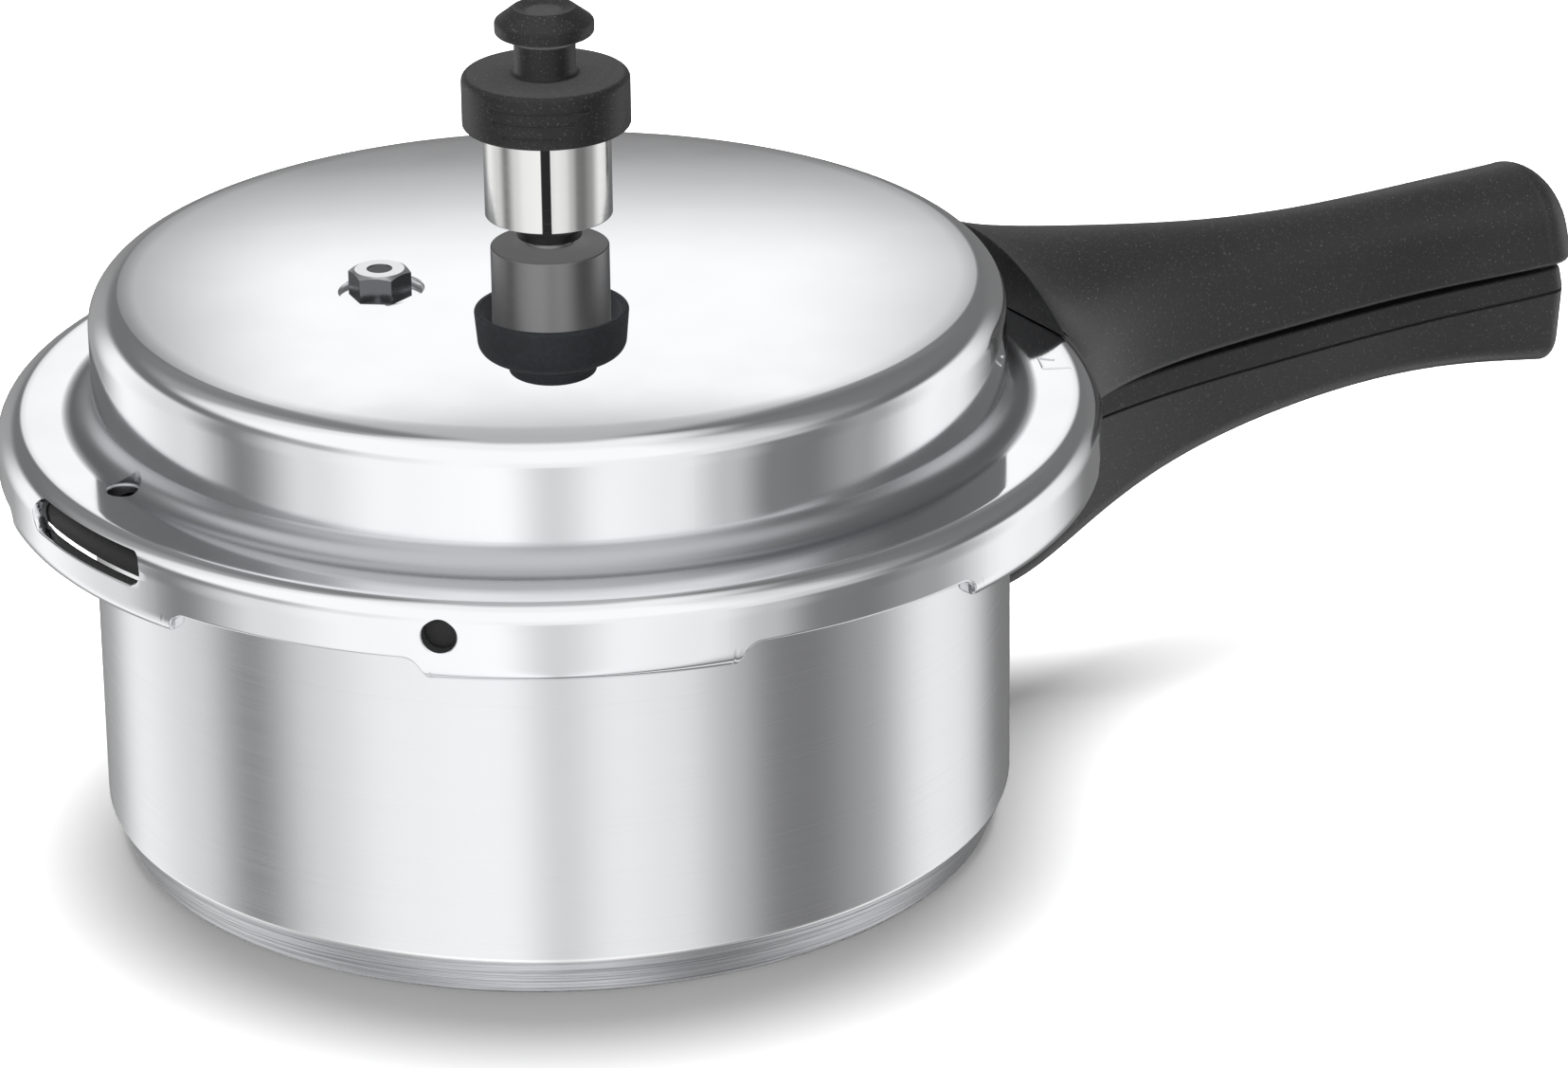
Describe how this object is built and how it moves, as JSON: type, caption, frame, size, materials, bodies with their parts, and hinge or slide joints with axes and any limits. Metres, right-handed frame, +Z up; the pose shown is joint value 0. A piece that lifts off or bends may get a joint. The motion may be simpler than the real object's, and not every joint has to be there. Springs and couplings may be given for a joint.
{
  "type": "stovetop pressure cooker",
  "caption": "Low aluminium pressure cooker with a bayonet outer lid, two stacked black phenolic handles, a weighted vent and a fusible safety plug.",
  "frame": {"origin": "middle of the base's underside, on the pot's axis", "axes": "+Z up along the pot's axis, +X out along the handles"},
  "size_m": [0.3546, 0.216, 0.1859],
  "materials": {
    "pot_aluminium": "drawn aluminium, satin brushed, turned band at the base",
    "lid_aluminium": "pressed aluminium, polished",
    "rivet_aluminium": "plain aluminium",
    "handle_phenolic": "black phenolic, moulded, matt with a fine grain",
    "cap_phenolic": "black phenolic, moulded, matt",
    "gasket_rubber": "black moulded rubber",
    "cup_rubber": "blue-black moulded rubber, matt",
    "steel": "plain steel",
    "vent_steel": "turned stainless steel",
    "polished_steel": "polished stainless steel",
    "plug_chrome": "chromed steel",
    "fusible_alloy": "dull grey fusible alloy"
  },
  "bodies": {
    "pot": {"pot_body": "pot_aluminium", "pot_handle": "handle_phenolic", "pot_handle_bracket": "steel", "pot_bracket_rivets": "rivet_aluminium", "pot_handle_screws": "steel"},
    "lid": {"lid_shell": "lid_aluminium", "gasket": "gasket_rubber", "lid_handle": "handle_phenolic", "lid_handle_bracket": "steel", "lid_bracket_rivets": "rivet_aluminium", "lid_handle_screws": "steel", "vent_body": "vent_steel", "vent_cup": "cup_rubber", "vent_washer": "steel", "vent_nut": "steel", "safety_plug": "plug_chrome", "safety_plug_alloy": "fusible_alloy", "safety_plug_washer": "steel", "safety_plug_nut": "steel"},
    "weight": {"weight_sleeve": "polished_steel", "weight_core": "steel", "weight_cap": "cap_phenolic"}
  },
  "joints": [
    {"name": "lid_turn", "type": "hinge", "parent": "pot", "child": "lid", "pos_m": [0, 0, 0.0833], "axis": [0, 0, 1], "range_deg": [0, 30]},
    {"name": "weight_lift", "type": "slide", "parent": "lid", "child": "weight", "axis": [0, 0, 1], "range_m": [0, 0.03]}
  ]
}
